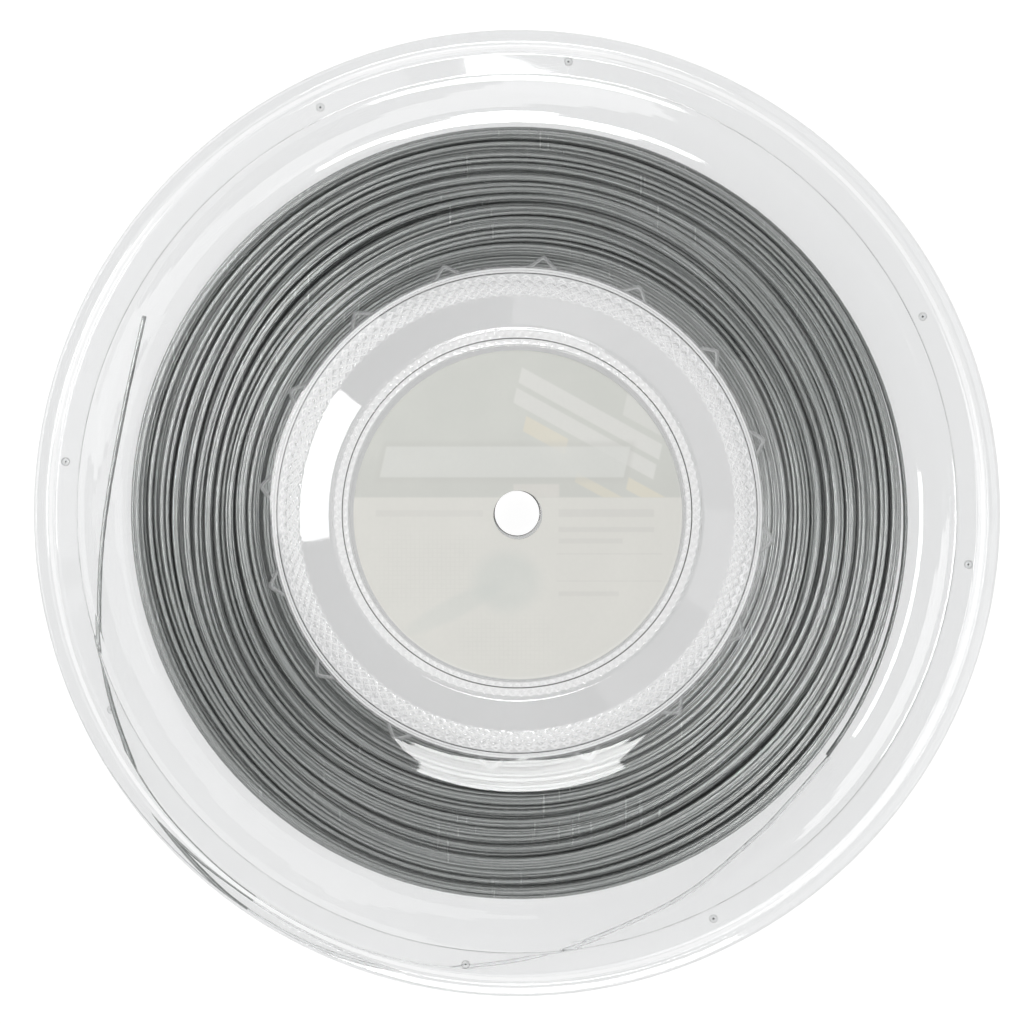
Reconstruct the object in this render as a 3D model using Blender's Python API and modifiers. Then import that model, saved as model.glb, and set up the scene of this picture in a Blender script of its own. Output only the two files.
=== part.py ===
"""String reel: a clear two-part moulded reel that holds 200 m of wound racket string.

The reel lies flat. +Z is its axis, the origin is at the centre of its lower face, and lengths
are in metres. The two halves are one moulding used twice, face to face about the middle plane.
"""

import math

import bmesh
import bpy
from mathutils import Vector

MM = 0.001
GAP = 0.3 * MM
EASE = 0.3 * MM

# Driving dimensions of the reel.
OUTER_R = 135.0 * MM
HALF_WIDTH = 13.0 * MM
WALL = 1.8 * MM
BORE_R = 6.25 * MM
DRUM_R = 68.5 * MM
DRUM_WALL = 1.5 * MM
INSIDE_HALF_WIDTH = 7.5 * MM
STRING_D = 1.28 * MM
PACK_R = 109.6 * MM

# The hub's face, from the label recess out to the drum.
WEB_TOP = 10.4 * MM
RECESS_R = 47.1 * MM
INNER_KNURL = (47.4 * MM, 11.6 * MM)
CREST = (51.6 * MM, 12.8 * MM)
OUTER_KNURL = (61.0 * MM, 11.9 * MM)
SHOULDER = (66.5 * MM, 10.9 * MM)
SHOULDER_FOOT = 0.5 * MM
RECESS_FOOT = 0.9 * MM
ARBOR_R = 8.5 * MM

# The flange, from the string out to the rolled lip.
FLARE_R = 121.0 * MM
FLARE_RISE = 2.0 * MM
STEP_R = 123.0 * MM
STEP_RISE = 0.4 * MM
LIP_R = 129.5 * MM
LIP_EDGE = 0.7 * MM
LIP_DEPTH = 2.7 * MM

# Round the drum: hollow lugs under the flange, and tongues that locate the other half. A tip
# slides inside the twin's drum wall, and its thicker root is buried in its own.
LUGS = 16
LUG_R = 4.0 * MM
LUG_WALL = 1.2 * MM
LUG_CENTRE_R = 68.3 * MM
LUG_DEPTH = 3.2 * MM
LUG_PHASE = math.radians(16.5)
TONGUES = 8
TONGUE_SPAN = math.radians(17)
TONGUE_REACH = 4.0 * MM
TONGUE_WALL = 1.3 * MM
TONGUE_LAP = 2.0 * MM
BURIED = 0.6 * MM
REAR_TURN = math.radians(-0.75)

# The labels, the wound string and its loose end.
LABEL_R = 46.4 * MM
LABEL_HOLE_R = 6.8 * MM
LABEL_THICKNESS = 0.3 * MM
PACK_HALF_WIDTH = 7.1 * MM
PACK_CROWN = 0.5 * MM
TAIL_POINTS = 76

STEPS = 56

CLEAR = (0.86, 0.88, 0.88)
STRING_GREY = (0.30, 0.32, 0.31)
PAPER = (0.66, 0.66, 0.61)


def clear_scene():
    for thing in list(bpy.data.objects):
        bpy.data.objects.remove(thing, do_unlink=True)


def new_collection(name):
    collection = bpy.data.collections.new(name)
    bpy.context.scene.collection.children.link(collection)
    return collection


def material(name, colour, roughness, alpha=1.0):
    surface = bpy.data.materials.new(name)
    surface.use_nodes = True
    shader = surface.node_tree.nodes["Principled BSDF"]
    shader.inputs["Base Color"].default_value = (*colour, 1)
    shader.inputs["Roughness"].default_value = roughness
    shader.inputs["Metallic"].default_value = 0
    shader.inputs["Alpha"].default_value = alpha
    surface.diffuse_color = (*colour, alpha)
    return surface


def place(name, data, collection, parent, surface=None):
    """Links a new object that lies in its parent's frame."""
    thing = bpy.data.objects.new(name, data)
    collection.objects.link(thing)
    thing.parent = parent
    if surface:
        data.materials.append(surface)
    return thing


def middle_plane(name, turn_over=0.0, clock=0.0):
    """An empty at the reel's middle plane, whose +Z points out through one flange."""
    empty = place(name, None, parts, None)
    empty.location = (0, 0, HALF_WIDTH)
    empty.rotation_euler = (turn_over, 0, clock)
    return empty


def polar(radius, angle):
    return (radius * math.cos(angle), radius * math.sin(angle))


def spread(start, end, count):
    """Evenly spaced values from start to end, both included."""
    return [start + (end - start) * i / (count - 1) for i in range(count)]


def turned(name, profile, collection, parent, surface=None):
    """Turns a closed (radius, height) profile, clockwise as seen from -Y, about Z."""
    mesh = bpy.data.meshes.new(name)
    corners = len(profile)
    edges = [(i, (i + 1) % corners) for i in range(corners)]
    mesh.from_pydata([(r, 0, z) for r, z in profile], edges, [])
    thing = place(name, mesh, collection, parent, surface)
    screw = thing.modifiers.new("turn", "SCREW")
    screw.steps = STEPS
    screw.render_steps = STEPS
    screw.use_merge_vertices = True
    screw.merge_threshold = 0.00001
    screw.use_smooth_shade = True
    return thing


def flat_solids(name, outlines, low, high, collection, parent):
    """One mesh of upright prisms between two heights, one for each closed 2D outline."""
    curve = bpy.data.curves.new(name, "CURVE")
    curve.dimensions = "2D"
    curve.fill_mode = "BOTH"
    curve.extrude = (high - low) / 2
    for outline in outlines:
        spline = curve.splines.new("POLY")
        spline.points.add(len(outline) - 1)
        spline.use_cyclic_u = True
        for point, (x, y) in zip(spline.points, outline):
            point.co = (x, y, 0, 1)
    guide = place(name + "_outline", curve, collection, None)
    graph = bpy.context.evaluated_depsgraph_get()
    mesh = bpy.data.meshes.new_from_object(guide.evaluated_get(graph))
    bpy.data.objects.remove(guide, do_unlink=True)
    weld(mesh)
    thing = place(name, mesh, collection, parent)
    thing.location = (0, 0, (low + high) / 2)
    thing.hide_render = True
    thing.display_type = "WIRE"
    return thing


def weld(mesh):
    form = bmesh.new()
    form.from_mesh(mesh)
    bmesh.ops.remove_doubles(form, verts=form.verts, dist=0.000001)
    bmesh.ops.recalc_face_normals(form, faces=form.faces)
    form.to_mesh(mesh)
    form.free()


def join(thing, other):
    boolean = thing.modifiers.new(other.name, "BOOLEAN")
    boolean.operation = "UNION"
    boolean.solver = "EXACT"
    boolean.object = other


def flare(radius_from, radius_to, base, rise, count=6):
    """The flange's dished stretch: a quarter of a cosine, flat where it leaves the string."""
    stretch = []
    for t in spread(0, 1, count):
        lift = 1 - math.cos(t * math.pi / 2)
        stretch.append((radius_from + (radius_to - radius_from) * t, base + rise * lift))
    return stretch


def half_profile():
    """Section of one half: out along its outer face, down the rim, back inside and up the bore."""
    seam = GAP / 2
    flange_top = INSIDE_HALF_WIDTH + WALL
    ring_top = flange_top + FLARE_RISE + STEP_RISE
    ring_under = ring_top - WALL
    web_under = WEB_TOP - WALL
    outer_face = [
        (BORE_R, WEB_TOP),
        (RECESS_R, WEB_TOP),
        INNER_KNURL,
        CREST,
        OUTER_KNURL,
        SHOULDER,
        (DRUM_R - EASE, flange_top + SHOULDER_FOOT),
        (DRUM_R + WALL, flange_top),
        *flare(PACK_R, FLARE_R, flange_top, FLARE_RISE),
        (STEP_R, ring_top),
        (LIP_R, ring_top),
        (LIP_R + LIP_EDGE, HALF_WIDTH - EASE),
        (LIP_R + 2 * LIP_EDGE, HALF_WIDTH),
        (OUTER_R - LIP_EDGE, HALF_WIDTH),
        (OUTER_R, HALF_WIDTH - LIP_EDGE),
    ]
    inner_face = [
        (OUTER_R, HALF_WIDTH - LIP_DEPTH + LIP_EDGE),
        (OUTER_R - LIP_EDGE, HALF_WIDTH - LIP_DEPTH),
        (LIP_R + LIP_EDGE, ring_under),
        (STEP_R + EASE, ring_under),
        *reversed(flare(PACK_R, FLARE_R, INSIDE_HALF_WIDTH, FLARE_RISE)),
        (DRUM_R, INSIDE_HALF_WIDTH),
        (DRUM_R, seam),
        (DRUM_R - DRUM_WALL, seam),
        (DRUM_R - DRUM_WALL, flange_top - 2 * EASE),
        (SHOULDER[0] - WALL, SHOULDER[1] - WALL + EASE),
        (OUTER_KNURL[0] - EASE, OUTER_KNURL[1] - WALL),
        (CREST[0] + 2 * EASE, CREST[1] - WALL),
        (RECESS_R + WALL, web_under + RECESS_FOOT),
        (RECESS_R, web_under),
        (ARBOR_R, web_under),
        (ARBOR_R, seam),
        (BORE_R, seam),
    ]
    return outer_face + inner_face


def lug_outline(angle):
    """A half-round arch on the drum, with both of its feet buried in the drum wall."""
    centre = polar(LUG_CENTRE_R, angle)
    turns = spread(-math.pi / 2, math.pi / 2, 8)
    outer = [polar(LUG_R, angle + t) for t in turns]
    inner = [polar(LUG_R - LUG_WALL, angle + t) for t in reversed(turns)]
    return [(centre[0] + x, centre[1] + y) for x, y in outer + inner]


def tongue_outline(angle, inner_r, outer_r, span):
    ends = spread(angle - span / 2, angle + span / 2, 4)
    outer = [polar(outer_r, a) for a in ends]
    inner = [polar(inner_r, a) for a in reversed(ends)]
    return outer + inner


def build_half(name, frame, surface):
    """One moulding: the turned shell, its lugs and the tongues that reach into its twin."""
    half = turned(name, half_profile(), parts, frame, surface)
    lug_angles = [LUG_PHASE + 2 * math.pi * k / LUGS for k in range(LUGS)]
    lugs = flat_solids(
        name + "_lugs",
        [lug_outline(a) for a in lug_angles],
        INSIDE_HALF_WIDTH - LUG_DEPTH,
        INSIDE_HALF_WIDTH + BURIED,
        cutters,
        frame,
    )
    # Turned over and clocked, the twin's tongues fall half way between these.
    first = REAR_TURN / 2 - math.pi / TONGUES / 2
    tongue_angles = [first + 2 * math.pi * k / TONGUES for k in range(TONGUES)]
    slide_r = DRUM_R - DRUM_WALL - GAP
    tips = flat_solids(
        name + "_tongue_tips",
        [tongue_outline(a, slide_r - TONGUE_WALL, slide_r, TONGUE_SPAN) for a in tongue_angles],
        -TONGUE_REACH,
        TONGUE_LAP,
        cutters,
        frame,
    )
    root_r = DRUM_R - DRUM_WALL / 2
    root_inner_r = slide_r - TONGUE_WALL - EASE
    root_span = 1.1 * TONGUE_SPAN
    roots = flat_solids(
        name + "_tongue_roots",
        [tongue_outline(a, root_inner_r, root_r, root_span) for a in tongue_angles],
        BURIED,
        TONGUE_REACH + BURIED,
        cutters,
        frame,
    )
    for extra in (lugs, roots, tips):
        join(half, extra)
    return half


def build_label(name, frame, surface):
    low = WEB_TOP + GAP
    high = low + LABEL_THICKNESS
    profile = [(LABEL_HOLE_R, high), (LABEL_R, high), (LABEL_R, low), (LABEL_HOLE_R, low)]
    return turned(name, profile, parts, frame, surface)


def build_pack(frame, surface):
    """The wound string: it fills the drum between the lugs and clears them under each flange."""
    lug_tip_r = LUG_CENTRE_R + LUG_R + 2 * GAP
    between_lugs = INSIDE_HALF_WIDTH - LUG_DEPTH - 2 * GAP
    bottom_r = DRUM_R + 2 * GAP
    shoulder_r = PACK_R - PACK_CROWN
    profile = [
        (lug_tip_r, PACK_HALF_WIDTH),
        (shoulder_r, PACK_HALF_WIDTH),
        (PACK_R, PACK_HALF_WIDTH - 2 * PACK_CROWN),
        (PACK_R, -PACK_HALF_WIDTH + 2 * PACK_CROWN),
        (shoulder_r, -PACK_HALF_WIDTH),
        (lug_tip_r, -PACK_HALF_WIDTH),
        (lug_tip_r, -between_lugs),
        (bottom_r, -between_lugs),
        (bottom_r, between_lugs),
        (lug_tip_r, between_lugs),
    ]
    return turned("string_pack", profile, parts, frame, surface)


# The loose end's route: angle in degrees, radius and height above the middle plane in mm. It
# springs outwards, comes down onto the lower flange and lies along it.
TAIL_ROUTE = [
    (-38.0, 111.0, -3.6),
    (-46.0, 111.2, -4.6),
    (-54.0, 112.8, -5.8),
    (-67.5, 117.3, -7.2),
    (-84.7, 123.5, -8.5),
    (-96.2, 128.4, -8.8),
    (-104.2, 131.6, -8.8),
    (-112.0, 133.2, -8.8),
    (-120.0, 133.8, -8.8),
    (-128.5, 133.6, -8.8),
    (-139.8, 131.6, -8.8),
    (-149.5, 128.0, -8.8),
    (-159.3, 124.3, -8.7),
    (-169.0, 119.4, -7.9),
    (-180.0, 115.4, -6.9),
    (-194.7, 114.0, -6.7),
    (-207.9, 118.3, -7.5),
]


def curve_through(points, count):
    """A Catmull-Rom curve through the points, read at count evenly spaced parameters."""
    ends = [2 * points[0] - points[1], *points, 2 * points[-1] - points[-2]]
    read = []
    for value in spread(0, len(points) - 1, count):
        i = min(int(value), len(points) - 2)
        t = value - i
        a, b, c, d = ends[i : i + 4]
        bend = (2 * a - 5 * b + 4 * c - d) * t * t + (3 * b - a - 3 * c + d) * t**3
        read.append(b + ((c - a) * t + bend) / 2)
    return read


def build_tail(frame, surface):
    corners = [
        Vector((*polar(r * MM, math.radians(angle)), z * MM)) for angle, r, z in TAIL_ROUTE
    ]
    curve = bpy.data.curves.new("string_tail", "CURVE")
    curve.dimensions = "3D"
    curve.bevel_depth = STRING_D / 2
    curve.bevel_resolution = 2
    curve.use_fill_caps = True
    spline = curve.splines.new("POLY")
    points = curve_through(corners, TAIL_POINTS)
    spline.points.add(len(points) - 1)
    for knot, point in zip(spline.points, points):
        knot.co = (*point, 1)
    return place("string_tail", curve, parts, frame, surface)


clear_scene()
parts = new_collection("string_reel")
cutters = new_collection("cutters")

front = middle_plane("front_side")
rear = middle_plane("rear_side", turn_over=math.pi, clock=REAR_TURN)

build_half("front_half", front, material("front_half", CLEAR, 0.08, alpha=0.3))
build_half("rear_half", rear, material("rear_half", CLEAR, 0.08, alpha=0.3))
build_label("front_label", front, material("front_label", PAPER, 0.6))
build_label("rear_label", rear, material("rear_label", PAPER, 0.6))
build_pack(front, material("string_pack", STRING_GREY, 0.35))
build_tail(front, material("string_tail", STRING_GREY, 0.35))
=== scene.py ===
"""Looks of the string reel: clear moulded halves, faded labels and wound grey string.

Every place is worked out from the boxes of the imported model's nodes. Lengths are in metres, except
inside the winding, which is worked out in millimetres.
"""

import math

import bpy
import numpy as np
from mathutils import Matrix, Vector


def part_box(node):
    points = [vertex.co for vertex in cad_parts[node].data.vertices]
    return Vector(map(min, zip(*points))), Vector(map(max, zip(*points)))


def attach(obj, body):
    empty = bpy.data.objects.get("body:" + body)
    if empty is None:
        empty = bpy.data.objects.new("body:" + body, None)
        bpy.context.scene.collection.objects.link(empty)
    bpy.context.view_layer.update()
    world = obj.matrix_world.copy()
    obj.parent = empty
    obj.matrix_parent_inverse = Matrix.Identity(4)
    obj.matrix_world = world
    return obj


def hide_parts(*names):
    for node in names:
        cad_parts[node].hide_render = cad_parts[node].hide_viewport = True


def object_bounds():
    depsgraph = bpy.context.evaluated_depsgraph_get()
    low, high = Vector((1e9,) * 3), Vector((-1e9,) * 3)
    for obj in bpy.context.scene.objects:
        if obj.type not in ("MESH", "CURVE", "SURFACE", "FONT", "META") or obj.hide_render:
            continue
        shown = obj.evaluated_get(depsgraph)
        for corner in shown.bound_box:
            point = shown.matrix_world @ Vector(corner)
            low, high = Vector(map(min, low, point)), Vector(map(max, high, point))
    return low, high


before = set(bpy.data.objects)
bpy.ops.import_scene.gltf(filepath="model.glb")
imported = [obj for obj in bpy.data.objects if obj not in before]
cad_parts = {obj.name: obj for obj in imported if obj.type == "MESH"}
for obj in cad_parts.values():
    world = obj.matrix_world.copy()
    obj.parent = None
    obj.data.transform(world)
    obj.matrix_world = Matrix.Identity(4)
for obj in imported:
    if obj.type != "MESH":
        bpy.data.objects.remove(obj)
cad_low, cad_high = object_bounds()

MM = 0.001
TAU = 2 * math.pi

# Driving sizes, read from the frame.
OUTER_R = (cad_high[0] - cad_low[0]) / 2
MIDDLE = (cad_low[2] + cad_high[2]) / 2
HALF_WIDTH = (cad_high[2] - cad_low[2]) / 2
pack_low, pack_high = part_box("string_pack")
PACK_R = pack_high[0]
PACK_HALF_WIDTH = (pack_high[2] - pack_low[2]) / 2
label_low, label_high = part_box("front_label")
LABEL_R = label_high[0]
LABEL_TOP = label_high[2] - MIDDLE
LABEL_BOTTOM = label_low[2] - MIDDLE
LABEL_HOLE_R = 6.8 * MM
LABEL_SLIP = (0.25 * MM, -0.5 * MM, 0)

# The section of one half, as in the solids: radii, and heights above the middle plane.
WALL = 1.8 * MM
BORE_R = 6.25 * MM
ARBOR_R = 8.5 * MM
DRUM_R = 68.5 * MM
DRUM_WALL = 1.5 * MM
INSIDE = 7.5 * MM
WEB_TOP = 10.4 * MM
RECESS_R = 47.1 * MM
INNER_KNURL = (47.5 * MM, 51.2 * MM)
OUTER_KNURL = (61.2 * MM, 65.3 * MM)
CREST = (51.6 * MM, 12.8 * MM)
SHOULDER = (65.5 * MM, 11.08 * MM)
FLARE_START = 107.2 * MM
FLARE_R = 121.0 * MM
FLARE_RISE = 2.0 * MM
STEP_R = 123.0 * MM
STEP_RISE = 0.4 * MM
LIP_R = 129.5 * MM
LIP_DEPTH = 2.7 * MM
SEAM = 0.15 * MM

KNURLS = 124
KNURL_HEIGHT = 0.12 * MM
COARSE = 186
FINE = 4 * COARSE

LUGS = 16
LUG_R = 4.6 * MM
LUG_REACH = 3.9 * MM
LUG_WALL = 1.5 * MM
LUG_CENTRE_R = 68.4 * MM
LUG_DEPTH = 3.1 * MM
LUG_PHASE = math.radians(16.5)
REAR_TURN = math.radians(-0.75)

STRING_D = 1.28 * MM
TAIL_START = math.radians(-38)
CLEAR_TAIL_END = math.radians(-124)

MARK_RING_R = 127 * MM
MARKS = 4
FRONT_MARK_PHASE = math.radians(83.5)
REAR_MARK_PHASE = math.radians(-26.6)

CAMERA_DISTANCE = 6.0
FRAME_WIDTH = 2.124 * OUTER_R
NEAR, FAR = 1.3, 5.0

STYRENE_IOR = 1.5
STRING_IOR = 1.57


# Studio


def add_camera():
    """Looks straight down the reel's axis through a very long lens."""
    data = bpy.data.cameras.new("camera")
    data.sensor_width = 36
    data.lens = data.sensor_width * CAMERA_DISTANCE / FRAME_WIDTH
    data.clip_end = 40
    camera = bpy.data.objects.new("camera", data)
    camera.location = (-1.4 * MM, 0.3 * MM, MIDDLE + CAMERA_DISTANCE)
    bpy.context.scene.collection.objects.link(camera)
    bpy.context.scene.camera = camera


def add_softbox(name, azimuth, off_axis, distance, width, height, radiance, roll=0.0):
    """A rectangular lamp that faces the reel, at a direction told from the reel's axis.

    Width is measured away from the axis and height round it, before any roll about its own middle.
    """
    data = bpy.data.lights.new(name, "AREA")
    data.shape = "RECTANGLE"
    data.size = width
    data.size_y = height
    data.energy = radiance * math.pi * width * height
    lamp = bpy.data.objects.new(name, data)
    turn, lean = math.radians(azimuth), math.radians(off_axis)
    lamp.location = (
        distance * math.sin(lean) * math.cos(turn),
        distance * math.sin(lean) * math.sin(turn),
        MIDDLE + distance * math.cos(lean),
    )
    aim = Matrix.Rotation(turn, 3, "Z") @ Matrix.Rotation(lean, 3, "Y")
    lamp.rotation_euler = (aim @ Matrix.Rotation(math.radians(roll), 3, "Z")).to_euler()
    lamp.visible_transmission = False
    bpy.context.scene.collection.objects.link(lamp)
    return lamp


def add_string_light(pieces, *place):
    """A softbox that shines on the string alone, as a lamp shaded from the plastic does.

    It is found by sampling the lamp, because the plastic hides it from a string's own gloss.
    """
    lit = bpy.data.collections.new("lit_string")
    for piece in pieces:
        lit.objects.link(piece)
    lamp = add_softbox("string_light", *place)
    lamp.light_linking.receiver_collection = lit
    lamp.data.cycles.use_multiple_importance_sampling = False


def add_world():
    """Pale near the horizon and dimmer overhead, so that flat clear faces stay dark."""
    world = bpy.data.worlds.new("studio")
    world.use_nodes = True
    nodes, links = world.node_tree.nodes, world.node_tree.links
    place = nodes.new("ShaderNodeTexCoord")
    split = nodes.new("ShaderNodeSeparateXYZ")
    ramp = nodes.new("ShaderNodeValToRGB")
    ramp.color_ramp.elements[0].position = 0.0
    ramp.color_ramp.elements[0].color = (0.50, 0.50, 0.50, 1)
    ramp.color_ramp.elements[1].position = 0.85
    ramp.color_ramp.elements[1].color = (0.15, 0.15, 0.15, 1)
    links.new(place.outputs["Generated"], split.inputs[0])
    links.new(split.outputs["Z"], ramp.inputs["Fac"])
    links.new(ramp.outputs["Color"], nodes["Background"].inputs["Color"])
    bpy.context.scene.world = world


def add_floor():
    """A white light table under the reel."""
    reach = 4.0
    corners = reach * np.array([[-1, -1], [1, -1], [1, 1], [-1, 1]])
    points = np.column_stack([corners, np.full(4, -0.0005)])
    surface = bpy.data.materials.new("floor")
    surface.use_nodes = True
    shader = surface.node_tree.nodes["Principled BSDF"]
    shader.inputs["Base Color"].default_value = (0.15, 0.15, 0.15, 1)
    shader.inputs["Roughness"].default_value = 0.9
    shader.inputs["Specular IOR Level"].default_value = 0.0
    shader.inputs["Emission Color"].default_value = (1, 1, 1, 1)
    shader.inputs["Emission Strength"].default_value = 0.94
    surface.cycles.emission_sampling = "NONE"
    new_piece("floor", points, [np.array([[0, 1, 2, 3]])], surface)


# Meshes


def new_piece(name, points, faces, surface, uv=None):
    """A smooth mesh from an (N, 3) array of points and arrays of faces, one face a row."""
    mesh = bpy.data.meshes.new(name)
    corners = np.concatenate([f.ravel() for f in faces]).astype(np.int32)
    sizes = np.concatenate([np.full(len(f), f.shape[1]) for f in faces])
    starts = np.concatenate([[0], np.cumsum(sizes)[:-1]]).astype(np.int32)
    mesh.vertices.add(len(points))
    mesh.vertices.foreach_set("co", np.ascontiguousarray(points, np.float32).ravel())
    mesh.loops.add(len(corners))
    mesh.loops.foreach_set("vertex_index", corners)
    mesh.polygons.add(len(sizes))
    mesh.polygons.foreach_set("loop_start", starts)
    if uv is not None:
        layer = mesh.uv_layers.new(name="UVMap")
        layer.data.foreach_set("uv", np.ascontiguousarray(uv, np.float32).ravel())
    mesh.update(calc_edges=True)
    mesh.shade_smooth()
    mesh.materials.append(surface)
    piece = bpy.data.objects.new(name, mesh)
    bpy.context.scene.collection.objects.link(piece)
    return piece


def keep_as_made(piece, points):
    """Keeps each point's place on the untouched half, so that both halves wear the same marks."""
    layer = piece.data.attributes.new("as_made", "FLOAT_VECTOR", "POINT")
    layer.data.foreach_set("vector", np.ascontiguousarray(points, np.float32).ravel())


def grid_faces(bodies, rows, columns, wrap_rows, wrap_columns):
    """Quads of several grids of points, each rows by columns, that may close on themselves."""
    i = np.arange(rows if wrap_rows else rows - 1)
    j = np.arange(columns if wrap_columns else columns - 1)
    body, i, j = np.meshgrid(np.arange(bodies), i, j, indexing="ij")
    first = body * rows * columns
    i_next, j_next = (i + 1) % rows, (j + 1) % columns
    quads = np.stack(
        [
            first + i * columns + j,
            first + i * columns + j_next,
            first + i_next * columns + j_next,
            first + i_next * columns + j,
        ],
        axis=-1,
    )
    return quads.reshape(-1, 4)


def end_caps(bodies, rows, columns):
    """The first and last row of each grid, each as one face that closes its end."""
    start = np.arange(bodies)[:, None] * rows * columns
    near = start + np.arange(columns)[::-1]
    far = start + (rows - 1) * columns + np.arange(columns)
    return np.concatenate([near, far])


def rounded(corners, arc=4, support=0.12 * MM):
    """A closed outline with each corner eased by a parabola: (radius, height, ease) a corner.

    With unit vectors u and v to the neighbours, the parabola runs from P + u e to P + v e, with P
    as its control point. A point just outside each end keeps the flats flat when shaded smooth.
    """
    spots = np.array([c[:2] for c in corners])
    eases = np.array([c[2] for c in corners])
    outline = []
    for k, spot in enumerate(spots):
        before = spots[k - 1] - spot
        after = spots[(k + 1) % len(spots)] - spot
        before_run, after_run = np.linalg.norm(before), np.linalg.norm(after)
        u, v = before / before_run, after / after_run
        ease = min(eases[k], 0.45 * before_run, 0.45 * after_run)
        s = np.linspace(0, 1, arc)[:, None]
        start, end = spot + u * ease, spot + v * ease
        bend = (1 - s) ** 2 * start + 2 * s * (1 - s) * spot + s**2 * end
        if before_run - ease > 3 * support:
            outline.append(start + u * support)
        outline.extend(bend)
        if after_run - ease > 3 * support:
            outline.append(end + v * support)
    return np.array(outline)


def refined(outline, low_r, high_r, step):
    """The outline with its long runs between two radii split into pieces of about one step."""
    result = []
    for spot, following in zip(outline, np.roll(outline, -1, axis=0)):
        result.append(spot)
        inside = low_r <= min(spot[0], following[0]) and max(spot[0], following[0]) <= high_r
        count = int(np.linalg.norm(following - spot) / step) if inside else 0
        if count > 1:
            t = np.arange(1, count)[:, None] / count
            result.extend(spot + (following - spot) * t)
    return np.array(result)


def turned_over(points):
    """The same shape on the rear half: turned half round about X, then clocked about Z."""
    cos, sin = math.cos(REAR_TURN), math.sin(REAR_TURN)
    x, y, z = points[..., 0], -points[..., 1], -points[..., 2]
    return np.stack([x * cos - y * sin, x * sin + y * cos, z], axis=-1)


def in_place(points, rear):
    """Lifts a shape made about the middle plane to its height, on the front or the rear half."""
    return (turned_over(points) if rear else points) + [0, 0, MIDDLE]


# The clear mouldings


def flare(base, count=14):
    """The flange's dish: height = base + rise (1 - cos(t pi / 2)) from the string to the step."""
    t = np.linspace(0, 1, count)
    radius = FLARE_START + (FLARE_R - FLARE_START) * t
    height = base + FLARE_RISE * (1 - np.cos(t * math.pi / 2))
    return [(r, z, 0.05 * MM) for r, z in zip(radius, height)]


def outer_corners():
    """The outer face of a half from the bore to the rim, as (radius, height, ease)."""
    top = INSIDE + WALL
    ring = top + FLARE_RISE + STEP_RISE
    return [
        (BORE_R, WEB_TOP, 0.25 * MM),
        (RECESS_R - 0.05 * MM, WEB_TOP, 0.1 * MM),
        (RECESS_R + 0.05 * MM, 12.62 * MM, 0.12 * MM),
        (CREST[0] - 0.3 * MM, 12.7 * MM, 0.3 * MM),
        (CREST[0] + 0.6 * MM, CREST[1], 0.5 * MM),
        (61.0 * MM, 11.9 * MM, 0.4 * MM),
        (SHOULDER[0], SHOULDER[1], 0.3 * MM),
        (DRUM_R - 0.5 * MM, top + 0.58 * MM, 0.4 * MM),
        (DRUM_R + 1.2 * MM, top + 0.42 * MM, 0.5 * MM),
        (DRUM_R + 4.5 * MM, top + 0.19 * MM, 1.5 * MM),
        (DRUM_R + 9.4 * MM, top, 0.4 * MM),
        *flare(top),
        (STEP_R - 0.6 * MM, ring - 0.25 * MM, 0.3 * MM),
        (STEP_R, ring - 0.16 * MM, 0.3 * MM),
        (LIP_R - 0.3 * MM, ring + 0.165 * MM, 0.9 * MM),
        (LIP_R + 1.6 * MM, HALF_WIDTH, 0.9 * MM),
        (OUTER_R, HALF_WIDTH, 0.8 * MM),
    ]


def inner_corners():
    """The inner face of a half from the rim back to the bore, as (radius, height, ease)."""
    top = INSIDE + WALL
    ring = top + FLARE_RISE + STEP_RISE - WALL
    web = WEB_TOP - WALL
    return [
        (OUTER_R, HALF_WIDTH - LIP_DEPTH, 0.6 * MM),
        (LIP_R + 2.0 * MM, ring + 0.2 * MM, 1.2 * MM),
        (LIP_R - 1.0 * MM, ring, 0.9 * MM),
        (STEP_R + 0.4 * MM, ring, 0.3 * MM),
        (STEP_R - 0.3 * MM, ring - 0.15 * MM, 0.3 * MM),
        *reversed(flare(INSIDE)),
        (DRUM_R, INSIDE, 0.25 * MM),
        (DRUM_R, SEAM, 0.15 * MM),
        (DRUM_R - DRUM_WALL, SEAM, 0.15 * MM),
        (DRUM_R - DRUM_WALL, top - 0.5 * MM, 0.5 * MM),
        (SHOULDER[0] - WALL, SHOULDER[1] - WALL + 0.3 * MM, 0.5 * MM),
        (60.6 * MM, 11.9 * MM - WALL, 0.5 * MM),
        (CREST[0] + 0.6 * MM, CREST[1] - WALL, 0.6 * MM),
        (RECESS_R + WALL + 0.05 * MM, 10.92 * MM, 0.12 * MM),
        (RECESS_R + WALL - 0.05 * MM, web, 0.12 * MM),
        (ARBOR_R, web, 0.4 * MM),
        (ARBOR_R, SEAM, 0.15 * MM),
        (BORE_R, SEAM, 0.15 * MM),
    ]


def knurl_relief(radius, angle):
    """Diamond knurling: the higher of two crossed sets of ridges, fading at each band's edges.

    With u counting knurls round the band and v across it, ridge(x) = max(0, 1 - 4 |x - round x|),
    and the height is the larger of ridge(u + v) and ridge(u - v).
    """
    height = np.zeros(np.broadcast(radius, angle).shape)
    u = angle / TAU * KNURLS
    for inner, outer, rows, share in ((*INNER_KNURL, 1.5, 0.3), (*OUTER_KNURL, 2.0, 1.0)):
        v = (radius - inner) / (outer - inner) * rows
        ridges = [np.clip(1 - 4 * np.abs(x - np.round(x)), 0, 1) for x in (u + v, u - v)]
        edge = np.minimum(radius - inner, outer - radius) / (0.25 * MM)
        height += np.maximum(*ridges) * np.clip(edge + 0.5, 0, 1) * KNURL_HEIGHT * share
    return height


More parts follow.
